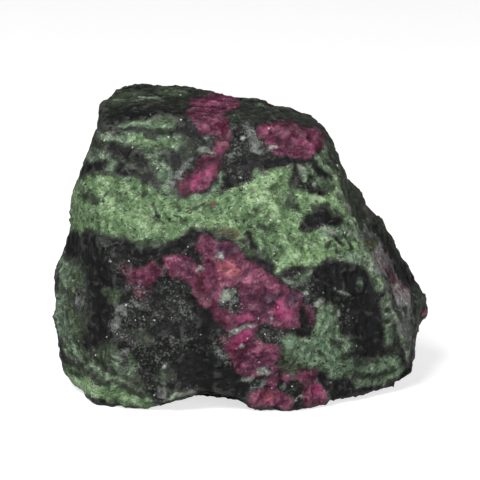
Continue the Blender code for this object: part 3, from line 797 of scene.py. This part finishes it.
def grains():
    """Crystals packed side by side: each has two numbers and a face that leans its own way."""
    inputs = {"Vector": "Vector", "Size": "Float"}
    outputs = {"Tone": "Float", "Chance": "Float", "Face": "Float"}
    tree, given, ends = new_tree("Grains", "ShaderNodeTree", inputs, outputs)
    middle, _ = cells(tree, given["Vector"], given["Size"])
    lot = tree.add("ShaderNodeTexWhiteNoise", {"Vector": middle}, "Color")
    lean = tree.vector("SUBTRACT", lot, MIDDLE)
    away = tree.vector("SUBTRACT", given["Vector"], middle)
    face = tree.vector("DOT_PRODUCT", away, lean, out="Value")
    tree.fill(ends["Tone"], lot.node.outputs["Value"])
    tree.fill(ends["Chance"], tree.add("ShaderNodeSeparateXYZ", {"Vector": lot}, "Z"))
    tree.fill(ends["Face"], tree.maths("DIVIDE", face, given["Size"]))
    return tree.tree


def flecks():
    """Scattered specks: a share of the cells holds one, and its outline is uneven."""
    inputs = {"Vector": "Vector", "Size": "Float", "Share": "Float", "Reach": "Float"}
    tree, given, ends = new_tree("Flecks", "ShaderNodeTree", inputs, {"Mask": "Float"})
    scale = tree.maths("DIVIDE", 1.3, given["Size"])
    push = {"Vector": given["Vector"], "Scale": scale, "Detail": 2.0}
    push = tree.vector("SUBTRACT", tree.add("ShaderNodeTexNoise", push, "Color"), MIDDLE)
    push = tree.scaled(push, tree.maths("MULTIPLY", given["Size"], 1.1))
    middle, distance = cells(tree, tree.vector("ADD", given["Vector"], push), given["Size"])
    lot = tree.add("ShaderNodeTexWhiteNoise", {"Vector": middle}, "Value")
    held = tree.between(tree.maths("SUBTRACT", given["Share"], lot), 0.0, 0.06)
    near = tree.between(distance, given["Reach"], tree.maths("MULTIPLY", given["Reach"], 0.6))
    tree.fill(ends["Mask"], tree.maths("MULTIPLY", held, near))
    return tree.tree


# ---- the relief of the broken faces ----


def relief_tree():
    """Chips that lean, rubies that stand out of the rock, and grain, all along the normals."""
    inputs = {"Geometry": "Geometry"} | {name: "Float" for name in RELIEF}
    inputs |= {"Seed": "Float", "Material": "Material"}
    tree, given, ends = new_tree("Broken grain", "GeometryNodeTree", inputs, {"Geometry": "Geometry"})
    place = tree.add("GeometryNodeInputPosition")
    seed = tree.add("ShaderNodeCombineXYZ", {"X": given["Seed"], "Y": given["Seed"]})
    shifted = tree.vector("ADD", place, seed)

    def chips(size, lean):
        middle, _ = cells(tree, shifted, size)
        lot = tree.add("ShaderNodeTexWhiteNoise", {"Vector": middle}, "Color")
        away = tree.vector("SUBTRACT", shifted, middle)
        height = tree.vector("DOT_PRODUCT", away, tree.vector("SUBTRACT", lot, MIDDLE), out="Value")
        return tree.maths("MULTIPLY", height, tree.maths("MULTIPLY", lean, 2.0))

    height = chips(given["Chip size"], given["Chip lean"])
    crystals = chips(given["Ruby chip size"], given["Ruby chip lean"])
    crystals = tree.maths("ADD", crystals, given["Ruby stands out"])
    ruby = tree.add("GeometryNodeInputNamedAttribute", {"Name": "ruby"}, data_type="FLOAT")
    height = tree.maths("MULTIPLY_ADD", crystals, ruby, height)
    scale = tree.maths("DIVIDE", 1.0, given["Grain size"])
    grain = {"Vector": shifted, "Scale": scale, "Detail": 1.0}
    grain = tree.maths("SUBTRACT", tree.add("ShaderNodeTexNoise", grain), 0.5)
    height = tree.maths("MULTIPLY_ADD", grain, given["Grain height"], height)
    offset = tree.scaled(tree.add("GeometryNodeInputNormal"), height)
    moved = tree.add("GeometryNodeSetPosition", {"Geometry": given["Geometry"], "Offset": offset})
    rested = tree.vector("MAXIMUM", place, (-1.0, -1.0, 0.0))
    moved = tree.add("GeometryNodeSetPosition", {"Geometry": moved, "Position": rested})
    whole = tree.add("GeometryNodeRealizeInstances", {"Geometry": moved})
    dressed = tree.add("GeometryNodeSetMaterial", {"Geometry": whole, "Material": given["Material"]})
    tree.fill(ends["Geometry"], dressed)
    return tree.tree


# ---- the material ----

# Sizes in millimetres: the crystals that the rock is packed from, and the dark nicks in the
# zoisite, as (size, reach as a share of it).
FINE_GRAIN = 0.27
GRAIN = 0.8
NICKS = [(0.42, 0.5), (0.8, 0.42)]
# The layers: how far and over what distance they ramble, their dip in degrees, and their stretch.
LAYER_RAMBLE = 3.5
LAYER_RAMBLE_SIZE = 5.0
LAYER_DIP = -14.0
LAYER_STRETCH = (0.62, 0.9, 1.3)
# Only crystals with a chance above this get a painted glint, a white highlight in the colour.
RARE = 0.9992


def stone_material():
    material = bpy.data.materials.new("ruby in zoisite")
    material.use_nodes = True
    material.node_tree.nodes.clear()
    tree = Tree(material.node_tree)
    ragged, packed, specks = ragged_mask(), grains(), flecks()
    place = tree.add("ShaderNodeTexCoord", out="Object")
    place = tree.vector("MULTIPLY", place, (1 / MM, 1 / MM, 1 / MM))

    def channel(name):
        return tree.add("ShaderNodeAttribute", out="Fac", attribute_name=name)

    def cloud(vector, size, detail=3.0, roughness=0.6):
        """Clouds of about that size, mostly between -1 and 1."""
        inputs = {"Vector": vector, "Scale": 1 / size, "Detail": detail, "Roughness": roughness}
        return tree.maths("MULTIPLY_ADD", tree.add("ShaderNodeTexNoise", inputs), 4.0, -2.0)

    def total(start, *parts):
        """start plus each (value, share) of the parts."""
        for value, share in parts:
            start = tree.maths("MULTIPLY_ADD", value, share, start)
        return start

    def scattered(size, share, reach):
        return tree.group(specks, {"Vector": flow, "Size": size, "Share": share, "Reach": reach})

    def crystals(vector, size):
        given = tree.group(packed, {"Vector": vector, "Size": size}).node.outputs
        return tree.maths("SUBTRACT", given["Tone"], 0.5), given["Chance"], given["Face"]

    def three_shades(value, dark, middle, light):
        low = tree.blend(tree.between(value, 0.0, 0.5), linear(dark), linear(middle))
        return tree.blend(tree.between(value, 0.5, 1.0), low, linear(light))

    green, ruby, pale, dark, warm, wear_and_shade = (channel(name) for name in (*CHANNELS, "wear_and_shade"))
    broad, middling, small = cloud(place, 5.0), cloud(place, 1.8), cloud(place, 0.7)
    shifted = tree.vector("ADD", place, (SEED / MM, SEED / MM, 0.0))
    fine_tone, fine_chance, fine_face = crystals(place, FINE_GRAIN)
    tone, _, face = crystals(place, GRAIN)
    chip_tone, _, _ = crystals(shifted, RELIEF["Chip size"] / MM)
    ruby_tone, _, ruby_face = crystals(shifted, RELIEF["Ruby chip size"] / MM)

    # The grain of the rock runs along its layers, which dip to the right and ramble.
    ramble = {"Vector": place, "Scale": 1 / LAYER_RAMBLE_SIZE, "Detail": 1.0}
    ramble = tree.vector("SUBTRACT", tree.add("ShaderNodeTexNoise", ramble, "Color"), MIDDLE)
    flow = tree.vector("MULTIPLY_ADD", ramble, (LAYER_RAMBLE,) * 3, place)
    layers = {"Vector": flow, "Rotation": (0.0, math.radians(LAYER_DIP), 0.0), "Scale": LAYER_STRETCH}
    flow = tree.add("ShaderNodeMapping", layers)
    streak, wisps = cloud(flow, 0.55, 3.0, 0.7), cloud(flow, 0.9, 5.0, 0.8)

    def share_of(amount, size, raggedness, softness):
        inputs = {"Vector": flow, "Amount": amount, "Size": size, "Raggedness": raggedness}
        return tree.group(ragged, inputs | {"Softness": softness})

    # Hornblende: near-black blades with paler grains among them.
    blade = total(0.35, (tone, 0.15), (fine_tone, 0.4), (middling, 0.15), (streak, 0.25), (dark, -0.35))
    black = tree.blend(tree.between(blade, 0.0, 1.0), linear("deep black"), linear("black"))
    tint = tree.between(total(green, (streak, 0.12), (wisps, 0.1)), 0.0, 0.4, 0.0, 0.9)
    black = tree.blend(tint, black, linear("dark moss"))
    haze = total(pale, (middling, 0.2), (streak, 0.2), (chip_tone, 0.2))
    black = tree.blend(tree.between(haze, 0.6, 1.1, 0.0, 0.9), black, linear("grey grain"))
    salt = total(-0.24, (fine_tone, 1.1), (wisps, 0.3), (pale, 0.6), (dark, -0.25), (middling, 0.1))
    salt = tree.between(salt, 0.0, 1.0, 0.0, 0.9)
    black = tree.blend(salt, black, linear("grey grain"))

    # Zoisite: a mass of green grains, with dark flecks and pale ones.
    leaf = total(0.5, (pale, 0.4), (dark, -0.75), (broad, 0.15), (middling, 0.2), (small, 0.15))
    leaf = total(leaf, (streak, 0.25), (wisps, 0.15), (chip_tone, 0.2), (fine_tone, 0.3))
    leaves = three_shades(leaf, "deep green", "green", "light green")
    leaves = tree.blend(tree.maths("MULTIPLY", warm, -0.8), leaves, linear("blue green"))
    leaves = tree.blend(tree.maths("MULTIPLY", warm, 0.8), leaves, linear("olive"))
    lights = total(-0.2, (wisps, 0.6), (pale, 0.5), (middling, 0.3), (fine_tone, 0.4))
    leaves = tree.blend(tree.between(lights, 0.0, 0.7, 0.0, 0.85), leaves, linear("pale green"))
    crowd = total(0.08, (dark, 0.35), (broad, 0.1), (middling, 0.05))
    nicks = [scattered(size, crowd, reach) for size, reach in NICKS]
    nicks = tree.maths("MAXIMUM", *nicks)
    leaves = tree.blend(tree.maths("MULTIPLY", nicks, 0.95), leaves, linear("black"))

    # Ruby: packed crystals from crimson to pink, dusted with dark and pale specks.
    depth = total(0.52, (pale, 0.4), (dark, -0.6), (broad, 0.15), (middling, 0.2), (small, 0.2))
    depth = total(depth, (ruby_tone, 0.45), (fine_tone, 0.25), (wisps, 0.2))
    rubies = three_shades(depth, "crimson", "ruby", "pink")
    rubies = tree.blend(tree.maths("MULTIPLY", warm, -0.8), rubies, linear("plum"))
    rubies = tree.blend(tree.maths("MULTIPLY", warm, 0.5), rubies, linear("orange"))
    vivid = tree.between(total(ruby, (middling, 0.08), (small, 0.06)), 1.02, 1.25, 0.0, 0.85)
    rubies = tree.blend(vivid, rubies, linear("magenta"))
    dust = total(-0.3, (fine_tone, 0.6), (wisps, 0.35), (pale, 0.8), (middling, 0.15))
    rubies = tree.blend(tree.between(dust, 0.3, 1.0, 0.0, 0.8), rubies, linear("lilac"))
    soot = total(0.05, (dark, 0.15), (wisps, -0.08), (fine_chance, -1.0))
    rubies = tree.blend(tree.between(soot, 0.0, 0.05, 0.0, 0.75), rubies, linear("black"))

    # How the three lie together.
    in_green = share_of(total(green, (dark, -0.12)), 2.2, 0.5, 0.28)
    in_ruby = share_of(ruby, 1.4, 0.6, 0.38)
    colour = tree.blend(in_green, black, leaves)
    colour = tree.blend(in_ruby, colour, rubies)
    chalk = total(pale, (small, 0.2), (wisps, 0.3), (fine_tone, 0.4))
    colour = tree.blend(tree.between(chalk, 1.1, 1.5, 0.0, 0.7), colour, linear("white"))
    # A painted glint: a few rare crystals are turned white, a highlight painted into the colour.
    painted_glint = tree.between(total(fine_chance, (pale, 0.003)), RARE, RARE + 0.0004, 0.0, 0.6)
    colour = tree.blend(painted_glint, colour, linear("white"))
    # Painted light: the colour is lightened on sharp edges, as wear and a painted highlight, and darkened
    # in sharp hollows as painted shade, and the sharpest edges are bruised pale.
    worn_and_shaded = total(wear_and_shade, (small, 0.2))
    edge_lift_and_hollow_shade = total(1.0, (tree.between(worn_and_shaded, 0.0, 1.0), 0.35), (tree.between(worn_and_shaded, -0.1, -1.0), -0.45))
    colour = tree.scaled(colour, edge_lift_and_hollow_shade)
    bruise = tree.maths("MULTIPLY", tree.between(worn_and_shaded, 0.5, 1.2), 0.05)
    colour = tree.blend(bruise, colour, linear("white"))

    rough = total(0.52, (in_green, 0.1), (fine_tone, 0.2), (small, 0.08))
    rough = total(rough, (in_ruby, -0.06))
    height = total(0.0, (fine_face, 0.08), (face, 0.12), (small, 0.03), (wisps, 0.02))
    height = total(height, (tree.maths("MULTIPLY", ruby_face, in_ruby), 0.3))
    bump = tree.add("ShaderNodeBump", {"Strength": 1.0, "Distance": MM, "Height": height})
    finish = {"Base Color": colour, "Roughness": rough, "Normal": bump}
    finish |= {"IOR": 1.6, "Specular IOR Level": 0.15}
    shader = tree.add("ShaderNodeBsdfPrincipled", finish)
    tree.add("ShaderNodeOutputMaterial", {"Surface": shader})
    return material


# ---- the stone ----


def plain_mesh(piece):
    """What the piece's modifiers make, as a mesh of its own, with no modifier left on the piece."""
    graph = bpy.context.evaluated_depsgraph_get()
    mesh = bpy.data.meshes.new_from_object(piece.evaluated_get(graph))
    piece.modifiers.clear()
    piece.data = mesh
    return mesh


def fine_shell(node):
    """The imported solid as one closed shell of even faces, small enough to carry the relief."""
    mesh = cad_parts[node].data.copy()
    shell = bmesh.new()
    shell.from_mesh(mesh)
    bmesh.ops.remove_doubles(shell, verts=shell.verts, dist=0.00001)
    shell.to_mesh(mesh)
    shell.free()
    piece = bpy.data.objects.new("broken_stone", mesh)
    bpy.context.scene.collection.objects.link(piece)
    remesh = piece.modifiers.new("Even faces", "REMESH")
    remesh.mode = "VOXEL"
    remesh.voxel_size = VOXEL
    soften = piece.modifiers.new("Soften", "SMOOTH")
    soften.factor = 0.5
    soften.iterations = SMOOTH_PASSES
    mesh = plain_mesh(piece)
    points, normals = vertex_arrays(mesh)
    for middle, radius, height in SWELLS.values():
        gap = np.linalg.norm(points / MM - middle, axis=1)
        points += normals * (step_between(radius, 0.0, gap) * height * MM)[:, None]
    mesh.vertices.foreach_set("co", points.ravel())
    mesh.update()
    return piece


def break_surface(piece, material):
    """Gives the shell its chips, standing rubies and grain."""
    tree = relief_tree()
    relief = piece.modifiers.new("Broken grain", "NODES")
    relief.node_group = tree
    sockets = {item.name: item.identifier for item in tree.interface.items_tree if item.in_out == "INPUT"}
    for name, value in RELIEF.items():
        relief[sockets[name]] = value
    relief[sockets["Seed"]] = float(SEED)
    relief[sockets["Material"]] = material
    plain_mesh(piece)


def vertex_arrays(mesh):
    points, normals = np.empty(len(mesh.vertices) * 3), np.empty(len(mesh.vertices) * 3)
    mesh.vertices.foreach_get("co", points)
    mesh.vertices.foreach_get("normal", normals)
    return points.reshape(-1, 3), normals.reshape(-1, 3)


def store(mesh, name, values):
    attribute = mesh.attributes.new(name, "FLOAT", "POINT")
    attribute.data.foreach_set("value", values.astype(np.float32))


def dressed_stone():
    noise.seed_set(SEED)
    piece = fine_shell(STONE)
    points, normals = vertex_arrays(piece.data)
    channels = rock_layout(points / MM)
    lay_strokes(channels, points, normals)
    for name, values in channels.items():
        store(piece.data, name, values)
    break_surface(piece, stone_material())
    # Sharp edges and hollows, for the wear, the painted highlight and the painted shade of the material.
    store(piece.data, "wear_and_shade", wear_and_shade_share(piece.data, *vertex_arrays(piece.data)))
    piece.data.shade_smooth()
    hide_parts(STONE)
    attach(piece, "root")


# ---- the studio ----


def floor_material():
    material = bpy.data.materials.new("studio floor")
    material.use_nodes = True
    shader = material.node_tree.nodes["Principled BSDF"]
    shader.inputs["Base Color"].default_value = linear("floor")
    shader.inputs["Roughness"].default_value = 0.9
    shader.inputs["Specular IOR Level"].default_value = 0.1
    tree = Tree(material.node_tree)
    seen = tree.add("ShaderNodeLightPath", out="Is Camera Ray")
    shader.inputs["Emission Color"].default_value = PURE_WHITE
    tree.fill(shader.inputs["Emission Strength"], tree.maths("MULTIPLY", seen, FLOOR_GLOW))
    return material


def studio_floor():
    """A round floor that curves up into a low wall all round."""
    outline = [(0.0, 0.0), (FLOOR_RADIUS, 0.0)]
    for i in range(1, WALL_STEPS + 1):
        angle = math.pi / 2 * i / WALL_STEPS
        across = FLOOR_RADIUS + WALL_CURVE * math.sin(angle)
        outline.append((across, WALL_CURVE * (1 - math.cos(angle))))
    outline.append((FLOOR_RADIUS + WALL_CURVE, WALL_HEIGHT))
    shell = bmesh.new()
    verts = [shell.verts.new((across, 0.0, up)) for across, up in outline]
    edges = [shell.edges.new(pair) for pair in zip(verts, verts[1:])]
    bmesh.ops.spin(shell, geom=verts + edges, cent=(0, 0, 0), axis=(0, 0, 1), angle=math.tau,
                   steps=FLOOR_SEGMENTS, use_merge=True, use_duplicate=False)
    bmesh.ops.remove_doubles(shell, verts=shell.verts, dist=0.0001)
    bmesh.ops.recalc_face_normals(shell, faces=shell.faces)
    if min(shell.faces, key=lambda face: face.calc_center_median().length).normal.z < 0:
        bmesh.ops.reverse_faces(shell, faces=shell.faces)
    mesh = bpy.data.meshes.new("studio_floor")
    shell.to_mesh(mesh)
    shell.free()
    mesh.shade_smooth()
    mesh.materials.append(floor_material())
    floor = bpy.data.objects.new("studio_floor", mesh)
    bpy.context.scene.collection.objects.link(floor)
    floor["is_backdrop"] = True


def facing_target(name, data, azimuth, elevation, distance):
    """A light or a camera that looks at the target from that side."""
    right, up, forward = side_axes(azimuth, elevation)
    thing = bpy.data.objects.new(name, data)
    axes = Matrix((right, up, -forward)).transposed().to_4x4()
    thing.matrix_world = Matrix.Translation(TARGET - forward * distance) @ axes
    bpy.context.scene.collection.objects.link(thing)
    return thing


def soft_light(name, azimuth, elevation, distance, size, power):
    """A square light that faces the stone from that side."""
    data = bpy.data.lights.new(name, "AREA")
    data.size = size
    data.energy = power
    facing_target(name, data, azimuth, elevation, distance)


def studio():
    studio_floor()
    for name, values in LIGHTS.items():
        soft_light(name, *values)
    world = bpy.data.worlds.new("studio air")
    world.use_nodes = True
    world.node_tree.nodes["Background"].inputs["Color"].default_value = PURE_WHITE
    world.node_tree.nodes["Background"].inputs["Strength"].default_value = AIR_LIGHT
    bpy.context.scene.world = world
    bpy.context.scene.view_settings.view_transform = "Standard"


def camera():
    data = bpy.data.cameras.new("camera")
    data.sensor_width = SENSOR
    data.lens = SENSOR * DISTANCE / FIELD_WIDTH
    data.clip_start, data.clip_end = CLIP
    bpy.context.scene.camera = facing_target("camera", data, 0.0, ELEVATION, DISTANCE)


def main():
    camera()
    studio()
    dressed_stone()
    boxes = {"cad": cad_box, "visual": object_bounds()}
    boxes = {name: [list(corner) for corner in box] for name, box in boxes.items()}


main()
